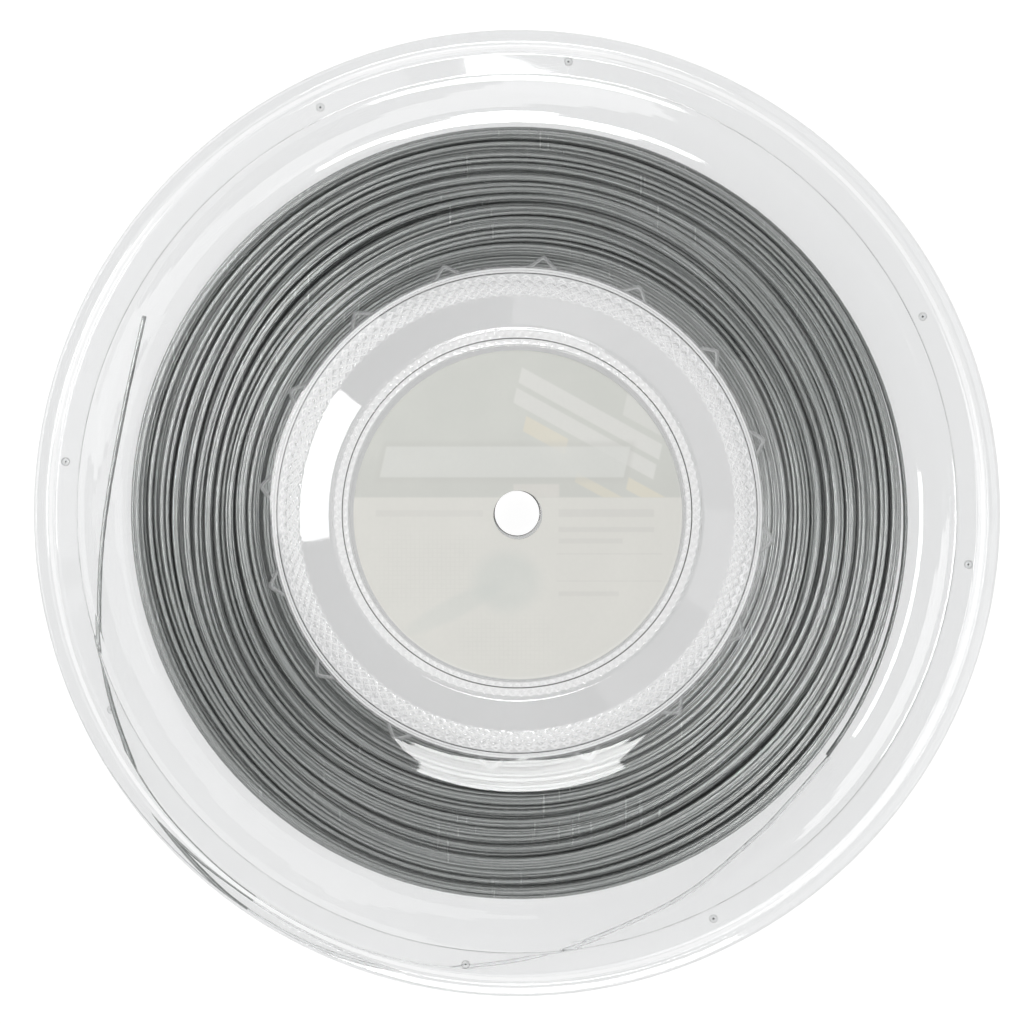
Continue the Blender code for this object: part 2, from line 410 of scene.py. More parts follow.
def build_moulding(name, rear, surface):
    """One half as a closed turned shell, with four times the points round its knurled bands.

    The section's points are rings about the axis. Two rings of the same count are joined by
    quads, and a coarse ring meets a fine one in a fan of five triangles for each coarse step.
    """
    outline = refined(rounded(outer_corners() + inner_corners()), 70 * MM, 134 * MM, 3 * MM)
    on_top = np.arange(len(outline)) < np.argmax(outline[:, 0])
    for band in (INNER_KNURL, OUTER_KNURL):
        outline, on_top = refined_band(outline, on_top, *band, 0.3 * MM)
    radius, height = outline.T
    knurled = np.zeros(len(radius), bool)
    for inner_r, outer_r in (INNER_KNURL, OUTER_KNURL):
        knurled |= on_top & (radius > inner_r - 0.05 * MM) & (radius < outer_r + 0.05 * MM)
    counts = np.where(knurled, FINE, COARSE)
    first = np.concatenate([[0], np.cumsum(counts)])
    ring = np.repeat(np.arange(len(counts)), counts)
    angle = TAU * (np.arange(first[-1]) - first[ring]) / counts[ring]
    lift = np.where(knurled[ring], knurl_relief(radius[ring], angle), 0)
    points = np.column_stack(
        [radius[ring] * np.cos(angle), radius[ring] * np.sin(angle), height[ring] + lift]
    )
    faces = [ring_faces(first, counts, k) for k in range(len(counts))]
    quads = [f for f in faces if f.shape[1] == 4]
    fans = [f for f in faces if f.shape[1] == 3]
    faces = [np.concatenate(quads), np.concatenate(fans)]
    piece = new_piece(name, in_place(points, rear), faces, surface)
    keep_as_made(piece, points)
    return piece


def refined_band(outline, on_top, low_r, high_r, step):
    """Splits the outer face's runs across one knurled band, and keeps track of which are outer."""
    spots, flags = [], []
    for k, spot in enumerate(outline):
        following = outline[(k + 1) % len(outline)]
        spots.append(spot)
        flags.append(on_top[k])
        low, high = sorted((spot[0], following[0]))
        if on_top[k] and low < high_r and low_r < high and step < high - low:
            count = int((high - low) / step) + 1
            t = np.arange(1, count)[:, None] / count
            spots.extend(spot + (following - spot) * t)
            flags.extend([True] * (count - 1))
    return np.array(spots), np.array(flags)


def ring_faces(first, counts, k):
    """The faces between ring k and the next one, facing out of the turned shell."""
    after = (k + 1) % len(counts)
    a, b, na, nb = first[k], first[after], counts[k], counts[after]
    if na == nb:
        i = np.arange(na)
        j = (i + 1) % na
        return np.stack([a + i, b + i, b + j, a + j], axis=1)
    i = np.arange(min(na, nb))
    j = (i + 1) % len(i)
    coarse, fine = (a, b) if na < nb else (b, a)
    f = [fine + (4 * i + s) % (4 * len(i)) for s in range(5)]
    c, d = coarse + i, coarse + j
    fan = [(c, f[0], f[1]), (c, f[1], f[2]), (c, f[2], d), (d, f[2], f[3]), (d, f[3], f[4])]
    faces = np.concatenate([np.stack(t, axis=1) for t in fan])
    return faces if na < nb else faces[:, ::-1]


def build_lugs(name, rear, surface):
    """Sixteen hollow pointed lugs round the drum, open towards the middle plane.

    In plan, with s from -1 to 1 along a lug's wall, across = half width times s, and outward =
    reach (b - sqrt(s s + e e)) / (b - e), where b = sqrt(1 + e e): straight sides and a round tip.
    A section of four eased corners gives the wall.
    """
    wall = rounded(
        [
            (1.0, INSIDE - 0.03 * MM, 0.15 * MM),
            (0.97, INSIDE - LUG_DEPTH, 0.3 * MM),
            (1 - LUG_WALL / LUG_R, INSIDE - LUG_DEPTH, 0.3 * MM),
            (0.98 - LUG_WALL / LUG_R, INSIDE - 0.03 * MM, 0.15 * MM),
        ],
        arc=3,
        support=1,
    )
    share = np.linspace(-1, 1, 33)[:, None]
    tip = 0.16
    foot = math.hypot(1, tip)
    arch = (foot - np.sqrt(share**2 + tip**2)) / (foot - tip)
    across = LUG_R * wall[:, 0][None, :] * share
    outward = 0.07 * MM + LUG_REACH * wall[:, 0][None, :] * arch
    height = np.broadcast_to(wall[:, 1], across.shape)
    middle = LUG_PHASE + TAU * np.arange(LUGS)[:, None, None] / LUGS
    radial = LUG_CENTRE_R + outward[None]
    points = np.stack(
        [
            radial * np.cos(middle) - across[None] * np.sin(middle),
            radial * np.sin(middle) + across[None] * np.cos(middle),
            np.broadcast_to(height[None], (LUGS, *height.shape)),
        ],
        axis=-1,
    )
    rows, columns = across.shape
    faces = [
        grid_faces(LUGS, rows, columns, False, True)[:, ::-1],
        end_caps(LUGS, rows, columns)[:, ::-1],
    ]
    piece = new_piece(name, in_place(points.reshape(-1, 3), rear), faces, surface)
    keep_as_made(piece, points)
    return piece


def turned(section, around):
    """A section of (radius, height) carried round the axis: (r cos a, r sin a, z), a row a step."""
    spin = TAU * np.arange(around)[:, None] / around
    radius, height = section[:, 0], section[:, 1]
    height = np.broadcast_to(height, (around, len(height)))
    return np.stack([radius * np.cos(spin), radius * np.sin(spin), height], axis=-1)


def build_ejector_marks(name, rear, phase, surface):
    """Four shallow round marks on the flat ring: discs with a rim, turned about their own axis."""
    ring = INSIDE + WALL + FLARE_RISE + STEP_RISE + 0.01 * MM
    around = 40
    section = np.array(
        [[0.02, 0], [0.02, 0.02], [0.8, 0.02], [0.95, 0.05], [1.05, 0.05], [1.15, 0.02], [1.15, 0]]
    )
    middle = phase + TAU * np.arange(MARKS)[:, None, None] / MARKS
    x, y = MARK_RING_R * np.cos(middle), MARK_RING_R * np.sin(middle)
    centre = np.stack([x, y, 0 * middle + ring], axis=-1)
    points = (turned(section * MM, around)[None] + centre).reshape(-1, 3)
    faces = [grid_faces(MARKS, around, len(section), True, True)]
    piece = new_piece(name, in_place(points, rear), faces, surface)
    keep_as_made(piece, points)
    return piece


# The wound string


def wander(rng, count, spacing):
    """Smooth noise: random values every few samples, joined by cosine easing."""
    knots = rng.normal(0, 1, count // spacing + 3)
    x = np.arange(count) / spacing
    i = x.astype(int)
    t = (1 - np.cos((x - i) * math.pi)) / 2
    return knots[i] * (1 - t) + knots[i + 1] * t


def wind_string(samples=120):
    """Winds the string on the drum layer by layer, and returns its radius and height in mm.

    Each layer goes from flange to flange at the winder's pitch, and over its last turns it climbs
    to the next by s s (3 - 2 s). The first layers stay between the lugs. Each turn then wanders,
    as on a loosely wound coil, and the pack swells by the sum of a sin(n angle + q r + b). Both
    fade away at the drum and at the outside.
    """
    d = STRING_D / MM
    rng = np.random.default_rng(21)
    lug_tip, innermost, outermost = 72.4, DRUM_R / MM + 0.1 + d / 2, PACK_R / MM - d / 2
    narrow, wide = 1.9, PACK_HALF_WIDTH / MM - d / 2
    pitch, climbing = 1.31, 2.5
    between_lugs = np.arange(innermost, lug_tip + d / 2 - 0.3, 1.15)
    full_width = np.arange(lug_tip + d / 2 + 0.1, outermost, 1.58)
    layers = np.concatenate([between_lugs, full_width])
    place, way = -narrow, 1
    radii, heights = [], []
    for number, layer in enumerate(layers[:-1]):
        target = way * (narrow if number < len(between_lugs) else wide)
        count = int(abs(target - place) / pitch * samples)
        climb = np.clip((np.arange(count) - count) / (climbing * samples) + 1, 0, 1)
        radii.append(layer + (layers[number + 1] - layer) * climb**2 * (3 - 2 * climb))
        heights.append(np.linspace(place, target, count, endpoint=False))
        place, way = target, -way
    count = sum(map(len, radii)) // samples * samples
    radii, heights = np.concatenate(radii)[:count], np.concatenate(heights)[:count]
    reach = np.where(radii < lug_tip + d / 2, narrow, wide)
    heights = np.clip(heights + 0.7 * wander(rng, count, 50), -reach, reach)
    calm = np.clip(np.minimum(radii - innermost - 3, outermost + 1 - radii) / 5, 0.15, 1)
    radii = radii + 0.75 * wander(rng, count, 50) * calm
    angle = TAU * np.arange(count) / samples
    fade = np.sin(math.pi * np.clip((radii - lug_tip - 1) / (outermost - lug_tip - 1), 0, 1))
    for a, n, q, b in ((0.6, 3, 0.13, 0.5), (0.3, 5, -0.2, 2.0), (0.6, 2, 0.08, 4.0)):
        radii = radii + a * np.sin(n * angle + q * (radii - 70) + b) * fade
    return radii.reshape(-1, samples), heights.reshape(-1, samples)


def tube(points, out, diameter, sides, start_length=0.0):
    """A round tube along a path: p + r (cos a out + sin a up), with up along the reel's axis.

    Returns its points, its faces with both ends closed, and a UV that holds the share of the way
    round and the length along the string in metres.
    """
    turn = TAU * np.arange(sides) / sides
    up = np.array([0, 0, 1.0])
    around = np.cos(turn)[None, :, None] * out[:, None, :] + np.sin(turn)[None, :, None] * up
    shell = points[:, None, :] + around * diameter / 2
    rows = len(points)
    quads = grid_faces(1, rows, sides, False, True)
    caps = end_caps(1, rows, sides)
    steps = np.linalg.norm(np.diff(points, axis=0), axis=1)
    along = start_length + np.concatenate([[0], np.cumsum(steps)])
    row, column = quads // sides, quads % sides
    wrapped = np.where((column == 0) & (column[:, :1] == sides - 1), sides, column)
    body_uv = np.stack([wrapped / sides, along[row]], axis=-1).reshape(-1, 2)
    cap_uv = np.stack([(caps % sides) / sides, along[caps // sides]], axis=-1).reshape(-1, 2)
    return shell.reshape(-1, 3), [quads, caps], np.concatenate([body_uv, cap_uv]), along[-1]


def build_winding(surface):
    """The whole wound length, cut into pieces of equal numbers of turns."""
    radii, heights = wind_string()
    turns, samples = radii.shape
    radius = radii.ravel() * MM
    height = heights.ravel() * MM + MIDDLE
    # The last stretch leaves the winding where the loose end begins.
    leaving = samples * 0.35
    ease = np.clip((np.arange(-len(radius), 0) + leaving) / leaving, 0, 1) ** 2
    radius = radius + (PACK_R + 0.9 * MM - radius) * ease
    height = height + (TAIL_POINTS[0][2] * MM + MIDDLE - height) * ease
    angle = TAIL_START + TAU * (len(radius) - 1 - np.arange(len(radius))) / samples
    out = np.column_stack([np.cos(angle), np.sin(angle), np.zeros_like(angle)])
    points = out * radius[:, None]
    points[:, 2] = height
    pieces, length = [], 0.0
    groups, sides = 5, 8
    cuts = np.linspace(0, len(points) - 1, groups + 1).astype(int)
    for number, (start, end) in enumerate(zip(cuts[:-1], cuts[1:]), 1):
        run = slice(start, end + 1)
        shell, faces, uv, length = tube(points[run], out[run], STRING_D, sides, length)
        pieces.append(new_piece(f"string_turns_{number}", shell, faces, surface, uv))
    print(f"wound {turns} turns, {length:.1f} m of string")
    return pieces


# The loose end's own points, as in the solids: degrees, radius and height above the middle, in mm.
TAIL_POINTS = [
    (-38.0, 111.0, -3.6),
    (-46.0, 111.2, -4.6),
    (-54.0, 112.8, -5.8),
    (-67.5, 117.3, -7.2),
    (-84.7, 123.5, -8.5),
    (-96.2, 128.4, -8.8),
    (-104.2, 131.6, -8.8),
    (-112.0, 133.2, -8.8),
    (-120.0, 133.8, -8.8),
    (-128.5, 133.6, -8.8),
    (-139.8, 131.6, -8.8),
    (-149.5, 128.0, -8.8),
    (-159.3, 124.3, -8.7),
    (-169.0, 119.4, -7.9),
    (-180.0, 115.4, -6.9),
    (-194.7, 114.0, -6.7),
    (-207.9, 118.3, -7.5),
]


def smooth_path(knots, count):
    """A Catmull-Rom curve through the knots, read at evenly spaced parameters."""
    ends = np.vstack([2 * knots[0] - knots[1], knots, 2 * knots[-1] - knots[-2]])
    value = np.linspace(0, len(knots) - 1, count)
    i = np.minimum(value.astype(int), len(knots) - 2)
    t = (value - i)[:, None]
    a, b, c, d = ends[i], ends[i + 1], ends[i + 2], ends[i + 3]
    bend = (2 * a - 5 * b + 4 * c - d) * t**2 + (3 * b - a - 3 * c + d) * t**3
    return b + ((c - a) * t + bend) / 2


def build_tail(surface, clear_surface):
    """The loose end, which springs out of the winding and lies along the lower flange.

    Its first stretch is clearer, as drawn string is where the winder's grip has stretched it.
    """
    degrees, radius, height = np.array(TAIL_POINTS).T
    angle = np.radians(degrees)
    knots = np.column_stack([radius * np.cos(angle), radius * np.sin(angle), height]) * MM
    knots[:, 2] += MIDDLE
    samples, sides = 260, 16
    points = smooth_path(knots, samples)
    along = np.gradient(points, axis=0)
    out = np.column_stack([-along[:, 1], along[:, 0], np.zeros(len(points))])
    out /= -np.linalg.norm(out, axis=1)[:, None]
    shell, faces, uv, length = tube(points, out, STRING_D, sides)
    tail = new_piece("string_tail_loose", shell, faces, surface, uv)
    tail.data.materials.append(clear_surface)
    azimuth = np.unwrap(np.arctan2(points[:, 1], points[:, 0]))
    stretched = np.repeat(azimuth[:-1] > CLEAR_TAIL_END, sides)
    slots = np.concatenate([stretched, [1, 0]]).astype(np.int32)
    tail.data.polygons.foreach_set("material_index", slots)
    return tail


# Labels


def build_label(name, rear, surface):
    """A paper disc with a centre hole and softly rolled edges, turned about the axis."""
    section = rounded(
        [
            (LABEL_HOLE_R, LABEL_TOP, 0.08 * MM),
            (LABEL_R - 0.4 * MM, LABEL_TOP, 0.12 * MM),
            (LABEL_R - 0.4 * MM, LABEL_BOTTOM, 0.05 * MM),
            (LABEL_HOLE_R, LABEL_BOTTOM, 0.05 * MM),
        ],
        arc=3,
    )
    around = 192
    placed = in_place(turned(section, around).reshape(-1, 3), rear) + LABEL_SLIP
    faces = [grid_faces(1, around, len(section), True, True)]
    return new_piece(name, placed, faces, surface)


# Shading


class Sheet:
    """A material's or a group's nodes, with short ways to add and join them."""

    def __init__(self, tree):
        self.nodes, self.links = tree.nodes, tree.links

    def add(self, kind, **settings):
        node = self.nodes.new("ShaderNode" + kind)
        for key, value in settings.items():
            setattr(node, key, value)
        return node

    def feed(self, socket, value):
        if isinstance(value, bpy.types.NodeSocket):
            self.links.new(value, socket)
        else:
            socket.default_value = value

    def math(self, operation, *values, clamp=False):
        node = self.add("Math", operation=operation, use_clamp=clamp)
        for socket, value in zip(node.inputs, values):
            self.feed(socket, value)
        return node.outputs[0]

    def step(self, value, low, high, to_low=0.0, to_high=1.0):
        """Smoothly from to_low to to_high as value goes from low to high."""
        node = self.add("MapRange", interpolation_type="SMOOTHSTEP")
        for key, number in (("Value", value), ("From Min", low), ("From Max", high)):
            self.feed(node.inputs[key], number)
        node.inputs["To Min"].default_value = to_low
        node.inputs["To Max"].default_value = to_high
        return node.outputs["Result"]

    def mix(self, share, a, b):
        node = self.add("Mix", data_type="RGBA")
        self.feed(node.inputs[0], share)
        self.feed(node.inputs[6], a)
        self.feed(node.inputs[7], b)
        return node.outputs[2]

    def noise(self, vector, scale, detail=2.0, roughness=0.5):
        node = self.add("TexNoise")
        self.feed(node.inputs["Vector"], vector)
        self.feed(node.inputs["Scale"], scale)
        node.inputs["Detail"].default_value = detail
        node.inputs["Roughness"].default_value = roughness
        return node.outputs["Fac"]

    def group(self, tree, **values):
        node = self.add("Group", node_tree=tree)
        for key, value in values.items():
            self.feed(node.inputs[key.replace("_", " ")], value)
        return node


def new_group(name, inputs, outputs):
    """An empty node group with float or vector sockets, and its sheet, input and output nodes."""
    tree = bpy.data.node_groups.new(name, "ShaderNodeTree")
    for label, kind in inputs:
        tree.interface.new_socket(name=label, in_out="INPUT", socket_type="NodeSocket" + kind)
    for label, kind in outputs:
        tree.interface.new_socket(name=label, in_out="OUTPUT", socket_type="NodeSocket" + kind)
    sheet = Sheet(tree)
    return tree, sheet, tree.nodes.new("NodeGroupInput"), tree.nodes.new("NodeGroupOutput")


def scuff_group():
    """Handling marks: sparse fine scratches and dull patches, as a mask from 0 to 1."""
    tree, sheet, given, result = new_group(
        "scuffs", [("Vector", "Vector"), ("Density", "Float")], [("Mask", "Float")]
    )
    patches = sheet.noise(given.outputs["Vector"], 45.0, 3.0)
    stretch = sheet.add("Mapping")
    stretch.inputs["Rotation"].default_value = (0, 0, 0.6)
    stretch.inputs["Scale"].default_value = (900, 60, 60)
    sheet.feed(stretch.inputs["Vector"], given.outputs["Vector"])
    lines = sheet.noise(stretch.outputs["Vector"], 1.0, 1.0)
    scratches = sheet.step(lines, 0.68, 0.74)
    dull = sheet.step(patches, 0.45, 0.75)
    both = sheet.math("MULTIPLY", scratches, dull)
    spread = sheet.math("ADD", both, sheet.math("MULTIPLY", dull, 0.25))
    mask = sheet.math("MULTIPLY", spread, given.outputs["Density"], clamp=True)
    sheet.feed(result.inputs["Mask"], mask)
    return tree


def drawn_group():
    """The drawn string's surface: streaks along it, from its UV, that close round it."""
    tree, sheet, given, result = new_group(
        "drawn_streaks", [("UV", "Vector")], [("Streaks", "Float"), ("Drift", "Float")]
    )
    split = sheet.add("SeparateXYZ")
    sheet.feed(split.inputs[0], given.outputs["UV"])
    turn = sheet.math("MULTIPLY", split.outputs["X"], TAU)
    ring = sheet.add("CombineXYZ")
    sheet.feed(ring.inputs["X"], sheet.math("COSINE", turn))
    sheet.feed(ring.inputs["Y"], sheet.math("SINE", turn))
    sheet.feed(ring.inputs["Z"], sheet.math("MULTIPLY", split.outputs["Y"], 9.0))
    sheet.feed(result.inputs["Streaks"], sheet.noise(ring.outputs[0], 3.2, 4.0, 0.6))
    length = sheet.add("CombineXYZ")
    sheet.feed(length.inputs["X"], sheet.math("MULTIPLY", split.outputs["Y"], 5.0))
    sheet.feed(result.inputs["Drift"], sheet.noise(length.outputs[0], 1.0, 2.0))
    return tree


def new_material(name):
    surface = bpy.data.materials.new(name)
    surface.use_nodes = True
    sheet = Sheet(surface.node_tree)
    return surface, sheet, surface.node_tree.nodes["Principled BSDF"]


def polar_radius(sheet, place):
    """The distance of a place from the reel's axis."""
    flat = sheet.add("VectorMath", operation="MULTIPLY")
    sheet.feed(flat.inputs[0], place)
    flat.inputs[1].default_value = (1, 1, 0)
    length = sheet.add("VectorMath", operation="LENGTH")
    sheet.feed(length.inputs[0], flat.outputs[0])
    return length.outputs["Value"]


def knurl_lines(sheet, place, radius):
    """The crests of each knurled band, as masks: distance to the nearest ridge, made crisp."""
    split = sheet.add("SeparateXYZ")
    sheet.feed(split.inputs[0], place)
    turn = sheet.math("ARCTAN2", split.outputs["Y"], split.outputs["X"])
    u = sheet.math("MULTIPLY", turn, KNURLS / TAU)
    crests = []
    for inner, outer, rows, strength in ((*INNER_KNURL, 1.5, 0.7), (*OUTER_KNURL, 2.0, 1.0)):
        share = sheet.math("SUBTRACT", radius, inner)
        v = sheet.math("MULTIPLY", share, rows / (outer - inner))
        near = [
            sheet.math("PINGPONG", sheet.math(way, u, v), 0.5) for way in ("ADD", "SUBTRACT")
        ]
        line = sheet.step(sheet.math("MINIMUM", *near), 0.05, 0.15, strength, 0.0)
        edge = 0.2 * MM
        enter = sheet.step(radius, inner - edge, inner + edge)
        leave = sheet.step(radius, outer - edge, outer + edge, 1.0, 0.0)
        crests.append(sheet.math("MULTIPLY", line, sheet.math("MULTIPLY", enter, leave)))
    return crests


def clear_material(name, scuffs, frost=0.0, clarity=1.0):
    """Polished clear styrene. The hub is a shade greyer than the flange. Painted shade greys the
    recess wall and a ring just outside the drum, and the knurl crests are painted lighter as a
    painted highlight.
    """
    surface, sheet, shader = new_material(name)
    place = sheet.add("Attribute", attribute_name="as_made").outputs["Vector"]
    radius = polar_radius(sheet, place)
    hub = sheet.step(radius, DRUM_R - 2.2 * MM, DRUM_R - 1.0 * MM, 1.0, 0.0)
    enter = sheet.step(radius, CREST[0], CREST[0] + 0.8 * MM)
    leave = sheet.step(radius, OUTER_KNURL[0] - 0.6 * MM, OUTER_KNURL[0], 1.0, 0.0)
    ring = sheet.math("MULTIPLY", enter, leave)
    collar = sheet.step(radius, CREST[0] - 0.8 * MM, CREST[0], 1.0, 0.0)
    # Painted shade: the recess wall is tinted darker, to stand in for the shadow that falls in the
    # recess.
    wall = sheet.step(radius, RECESS_R + 0.2 * MM, RECESS_R + 0.5 * MM, 1.0, 0.0)
    tint = sheet.mix(hub, (0.905, 0.908, 0.91, 1), (0.832, 0.835, 0.837, 1))
    tint = sheet.mix(ring, tint, (0.815, 0.817, 0.818, 1))
    tint = sheet.mix(collar, tint, (0.91, 0.91, 0.91, 1))
    tint = sheet.mix(wall, tint, (0.78, 0.782, 0.782, 1))
    # Painted shade: a darker ring just outside the drum, where shade falls between the lugs.
    inward = sheet.step(radius, DRUM_R - 0.6 * MM, DRUM_R)
    outward = sheet.step(radius, DRUM_R + 3.2 * MM, DRUM_R + 4.2 * MM, 1.0, 0.0)
    painted_drum_shade = sheet.math("MULTIPLY", inward, outward)
    tint = sheet.mix(painted_drum_shade, tint, (0.80, 0.805, 0.805, 1))
    # Painted highlight: the knurl crest lines are tinted almost clear, lighter than the band around
    # them, to stand in for the light they catch.
    inner_crest, crest = knurl_lines(sheet, place, radius)
    tint = sheet.mix(sheet.math("MAXIMUM", inner_crest, crest), tint, (0.99, 0.99, 0.99, 1))
    sheet.feed(shader.inputs["Base Color"], tint)
    wear = sheet.group(scuffs, Vector=place, Density=0.6).outputs["Mask"]
    base = sheet.math("MULTIPLY_ADD", crest, 0.3, 0.02 + frost)
    sheet.feed(shader.inputs["Roughness"], sheet.math("MULTIPLY_ADD", wear, 0.06, base))
    shader.inputs["IOR"].default_value = STYRENE_IOR
    shader.inputs["Transmission Weight"].default_value = clarity
    flow = sheet.add("Bump")
    flow.inputs["Strength"].default_value = 0.12
    flow.inputs["Distance"].default_value = 0.0006
    sheet.feed(flow.inputs["Height"], sheet.noise(place, 38.0, 1.0))
    relief = sheet.add("Bump")
    relief.inputs["Strength"].default_value = 0.6
    relief.inputs["Distance"].default_value = 0.0001
    sheet.feed(relief.inputs["Height"], crest)
    sheet.feed(relief.inputs["Normal"], flow.outputs[0])
    sheet.feed(shader.inputs["Normal"], relief.outputs[0])
    # Lamps reach what is behind the plastic.
    lit_through = sheet.add("BsdfTransparent")
    lit_through.inputs["Color"].default_value = (0.9, 0.9, 0.9, 1)
    choose = sheet.add("MixShader")
    sheet.feed(choose.inputs[0], sheet.add("LightPath").outputs["Is Shadow Ray"])
    sheet.feed(choose.inputs[1], shader.outputs[0])
    sheet.feed(choose.inputs[2], lit_through.outputs[0])
    output = next(n for n in sheet.nodes if n.type == "OUTPUT_MATERIAL")
    sheet.feed(output.inputs["Surface"], choose.outputs[0])
    return surface


def string_material(name, streaks, scuffs):
    """Satin grey monofilament, cool and slightly streaked along its length."""
    surface, sheet, shader = new_material(name)
    uv = sheet.add("TexCoord").outputs["UV"]
    drawn = sheet.group(streaks, UV=uv)
    shade = sheet.mix(drawn.outputs["Streaks"], (0.245, 0.254, 0.249, 1), (0.37, 0.382, 0.376, 1))
    drift = sheet.step(drawn.outputs["Drift"], 0.35, 0.65)
    tone = sheet.mix(drift, shade, (0.31, 0.321, 0.316, 1))
    sheet.feed(shader.inputs["Base Color"], tone)
    place = sheet.add("TexCoord").outputs["Object"]
    wear = sheet.group(scuffs, Vector=place, Density=0.8).outputs["Mask"]
    gloss = sheet.step(drawn.outputs["Streaks"], 0.3, 0.7, 0.20, 0.28)
    sheet.feed(shader.inputs["Roughness"], sheet.math("MULTIPLY_ADD", wear, 0.15, gloss))
    shader.inputs["IOR"].default_value = STRING_IOR
    shader.inputs["Metallic"].default_value = 0.7
    shader.inputs["Coat Weight"].default_value = 0.5
    shader.inputs["Coat Roughness"].default_value = 0.16
    ridges = sheet.add("Bump")
    ridges.inputs["Strength"].default_value = 0.25
    ridges.inputs["Distance"].default_value = 0.00004
    sheet.feed(ridges.inputs["Height"], drawn.outputs["Streaks"])
    sheet.feed(shader.inputs["Normal"], ridges.outputs[0])
    return surface


def clear_string_material(streaks):
    """The stretched end of the string: grey and see-through, so that only its sides look dark."""
    surface, sheet, shader = new_material("string_clear_end")
    drawn = sheet.group(streaks, UV=sheet.add("TexCoord").outputs["UV"])
    tone = sheet.mix(drawn.outputs["Streaks"], (0.80, 0.81, 0.81, 1), (0.92, 0.925, 0.925, 1))
    sheet.feed(shader.inputs["Base Color"], tone)
    gloss = sheet.step(drawn.outputs["Drift"], 0.3, 0.7, 0.05, 0.12)
    sheet.feed(shader.inputs["Roughness"], gloss)
    shader.inputs["IOR"].default_value = STRING_IOR
    shader.inputs["Transmission Weight"].default_value = 0.9
    return surface


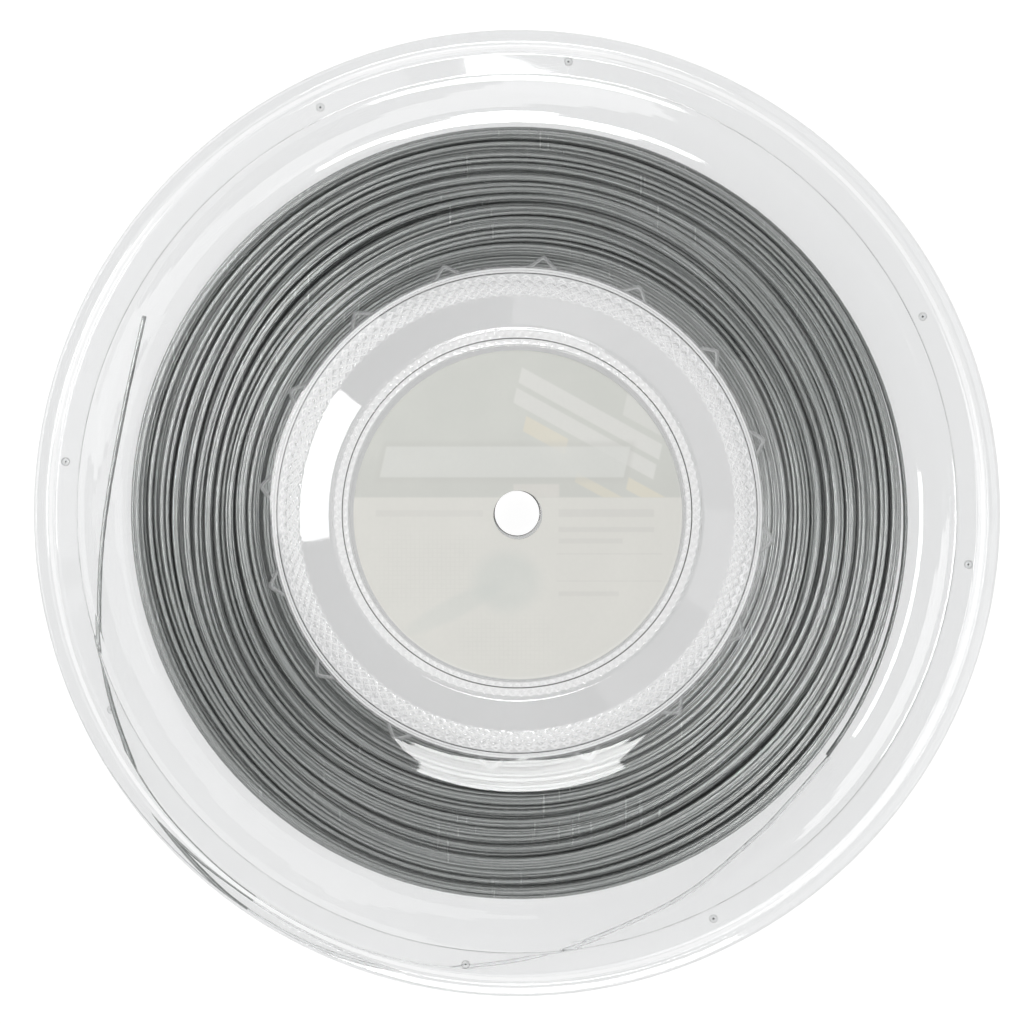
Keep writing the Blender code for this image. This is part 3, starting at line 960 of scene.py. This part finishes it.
def label_material(scuffs):
    """Faded print on satin paper: plain panels, bands, rules and a fine mesh, with no lettering."""
    surface, sheet, shader = new_material("label_paper")
    place = sheet.add("TexCoord").outputs["Object"]
    radius = polar_radius(sheet, place)
    split = sheet.add("SeparateXYZ")
    sheet.feed(split.inputs[0], place)
    x, y = split.outputs["X"], split.outputs["Y"]
    soft = 0.35 * MM

    def between(value, low, high, edge=soft):
        rise = sheet.step(value, low - edge, low + edge)
        fall = sheet.step(value, high - edge, high + edge, 1.0, 0.0)
        return sheet.math("MULTIPLY", rise, fall)

    def panel(left, right, bottom, top, edge=soft):
        across = between(x, left * MM, right * MM, edge)
        return sheet.math("MULTIPLY", across, between(y, bottom * MM, top * MM, edge))

    def tinted(colour, mask, share, tint):
        return sheet.mix(sheet.math("MULTIPLY", mask, share), colour, (*tint, 1))

    upper = sheet.step(y, 4.1 * MM, 4.7 * MM)
    shaded = sheet.math("MULTIPLY", upper, sheet.step(y, 5 * MM, 22 * MM, 1.0, 0.0))
    colour = sheet.mix(upper, (0.65, 0.645, 0.607, 1), (0.575, 0.585, 0.55, 1))
    colour = tinted(colour, shaded, 0.30, (0.497, 0.497, 0.47))
    # Slanted bands in the upper right, cut off square to the panel: low, high, left, right, tint.
    slant = sheet.math("MULTIPLY_ADD", x, 0.55, y)
    lean = sheet.math("MULTIPLY_ADD", y, -0.22, x)

    def leaning(left, right, edge=soft):
        return between(lean, left * MM, right * MM, edge)

    white, straw = (0.675, 0.675, 0.648), (0.68, 0.64, 0.525)
    for low, high, left, right, tint, share in (
        (36.7, 41.5, -7.6, 36.4, white, 0.85),
        (30.3, 35.0, -7.8, 36.0, white, 0.80),
        (43.7, 52.0, 23.5, 48.0, white, 0.60),
        (23.8, 28.6, -3.4, 9.8, straw, 0.70),
        (17.6, 20.6, 14.2, 29.0, straw, 0.60),
        (23.4, 27.2, 29.0, 42.0, straw, 0.70),
    ):
        band = sheet.math("MULTIPLY", leaning(left, right), between(slant, low * MM, high * MM))
        colour = tinted(colour, sheet.math("MULTIPLY", band, upper), share, tint)
    # The blank name bar across the middle, leaning like the bands' ends, with a soft edge round it.
    for left, right, bottom, top, edge, share, tint in (
        (-41.8, 28.8, 8.6, 20.0, 1.0 * MM, 0.40, (0.505, 0.505, 0.478)),
        (-40.6, 27.6, 10.0, 18.6, soft, 0.70, (0.645, 0.654, 0.626)),
    ):
        across = between(y, bottom * MM, top * MM, edge)
        bar = sheet.math("MULTIPLY", leaning(left, right, edge), across)
        colour = tinted(colour, bar, share, tint)
    colour = tinted(colour, panel(-1, 11.8, 4.4, 8.1), 0.8, (0.64, 0.625, 0.59))
    # A fine mesh and a soft grey head and handle in the lower half.
    lines = []
    for value in (x, y):
        wave = sheet.math("PINGPONG", value, 0.62 * MM)
        lines.append(sheet.step(wave, 0.05 * MM, 0.2 * MM, 1.0, 0.0))
    mesh = sheet.math("MAXIMUM", *lines)
    for field in (panel(-39, -11, -26, -5, 5 * MM), panel(-16, 10, -43, -29, 4 * MM)):
        colour = tinted(colour, sheet.math("MULTIPLY", mesh, field), 0.09, (0.45, 0.45, 0.42))
    for across, along, turn, wide, deep, share in (
        (-3.0, -19.3, 0.0, 10.8, 9.6, 0.55),
        (-17.5, -26.5, 27.0, 17.0, 3.4, 0.40),
    ):
        shift = sheet.add("Mapping", vector_type="TEXTURE")
        shift.inputs["Location"].default_value = (across * MM, along * MM, 0)
        shift.inputs["Rotation"].default_value = (0, 0, math.radians(turn))
        shift.inputs["Scale"].default_value = (wide * MM, deep * MM, 1)
        sheet.feed(shift.inputs["Vector"], place)
        blot = sheet.step(polar_radius(sheet, shift.outputs[0]), 0.55, 1.15, 1.0, 0.0)
        colour = tinted(colour, blot, share, (0.548, 0.575, 0.548))
    # Plain bars and rules where a label carries its small print: left, right, bottom, thickness.
    for left, right, bottom, thick, share in (
        (11.6, 38.3, -1.1, 2.2, 0.20),
        (11.6, 38.3, -5.3, 1.4, 0.20),
        (11.6, 29.5, -8.5, 1.4, 0.18),
        (11.0, 40.5, -11.5, 0.2, 0.30),
        (11.0, 40.5, -19.1, 0.2, 0.30),
        (11.6, 28.5, -23.2, 1.3, 0.20),
        (-39.5, -9.5, -1.0, 1.8, 0.16),
    ):
        rule = panel(left, right, bottom, bottom + thick, 0.25 * MM)
        colour = tinted(colour, rule, share, (0.45, 0.44, 0.43))
    fibres = sheet.noise(place, 900.0, 4.0, 0.6)
    mottle = sheet.noise(place, 60.0, 3.0)
    aged = sheet.mix(sheet.step(mottle, 0.3, 0.8, 0.0, 0.12), colour, (0.80, 0.79, 0.74, 1))
    # Painted highlight: the paper is lighter towards its rim, to stand in for light caught on the
    # rolled edge.
    painted_rim_highlight = sheet.step(radius, LABEL_R - 0.9 * MM, LABEL_R, 0.0, 0.35)
    rim_highlighted = sheet.mix(painted_rim_highlight, aged, (0.86, 0.86, 0.84, 1))
    grain = sheet.mix(sheet.step(fibres, 0.35, 0.65, 0.0, 0.05), rim_highlighted, (0.5, 0.5, 0.48, 1))
    sheet.feed(shader.inputs["Base Color"], grain)
    wear = sheet.group(scuffs, Vector=place, Density=1.0).outputs["Mask"]
    sheet.feed(shader.inputs["Roughness"], sheet.math("MULTIPLY_ADD", wear, 0.2, 0.48))
    tooth = sheet.add("Bump")
    tooth.inputs["Strength"].default_value = 0.15
    tooth.inputs["Distance"].default_value = 0.00005
    sheet.feed(tooth.inputs["Height"], fibres)
    sheet.feed(shader.inputs["Normal"], tooth.outputs[0])
    return surface


# The scene

bpy.context.scene.view_settings.view_transform = "Standard"
bpy.context.scene.render.film_transparent = False
add_camera()
add_world()
add_floor()
add_softbox("key_left", 155, 40, NEAR, 1.05, 1.15, 3.2)
add_softbox("key_right", 335, 38, NEAR, 0.34, 0.42, 4.0)
add_softbox("low_fill", 275, 36, NEAR, 0.45, 0.45, 2.6)
# Cards far enough away that the reel's own width hardly shifts what its faces mirror.
add_softbox("ring_card", 166, 13, FAR, 0.22, 0.80, 12.0)
add_softbox("drum_card", 271, 7.9, FAR, 0.56, 0.56, 15.0, roll=45)
add_softbox("flare_card", 302, 17, FAR, 0.61, 3.2, 2.4)
add_softbox("band_card", 328, 8.2, FAR, 1.0, 1.2, 0.9)
add_softbox("pale_card", 32, 13, FAR, 1.1, 2.2, 1.2)

scuffs = scuff_group()
streaks = drawn_group()
clear = clear_material("clear_moulding", scuffs)
clear_lugs = clear_material("clear_lugs", scuffs, 0.12, 0.85)
string_look = string_material("string", streaks, scuffs)
clear_string = clear_string_material(streaks)
paper = label_material(scuffs)

tail = build_tail(string_look, clear_string)
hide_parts("string_tail")
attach(tail, "root")

turns = build_winding(string_look)
add_string_light([tail, *turns], 155, 40, NEAR, 0.7, 1.0, 11.0)
add_string_light([tail, *turns], 335, 40, NEAR, 0.6, 0.9, 7.5)
for piece in turns:
    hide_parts("string_pack")
    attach(piece, "root")

halves = (("front", False, FRONT_MARK_PHASE), ("rear", True, REAR_MARK_PHASE))
for side, rear, mark_phase in halves:
    shell = build_moulding(side + "_moulding", rear, clear)
    lugs = build_lugs(side + "_lugs", rear, clear_lugs)
    marks = build_ejector_marks(side + "_ejector_marks", rear, mark_phase, clear)
    for piece in (shell, lugs, marks):
        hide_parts(side + "_half")
        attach(piece, "root")
    label = build_label(side + "_label_paper", rear, paper)
    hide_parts(side + "_label")
    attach(label, "root")
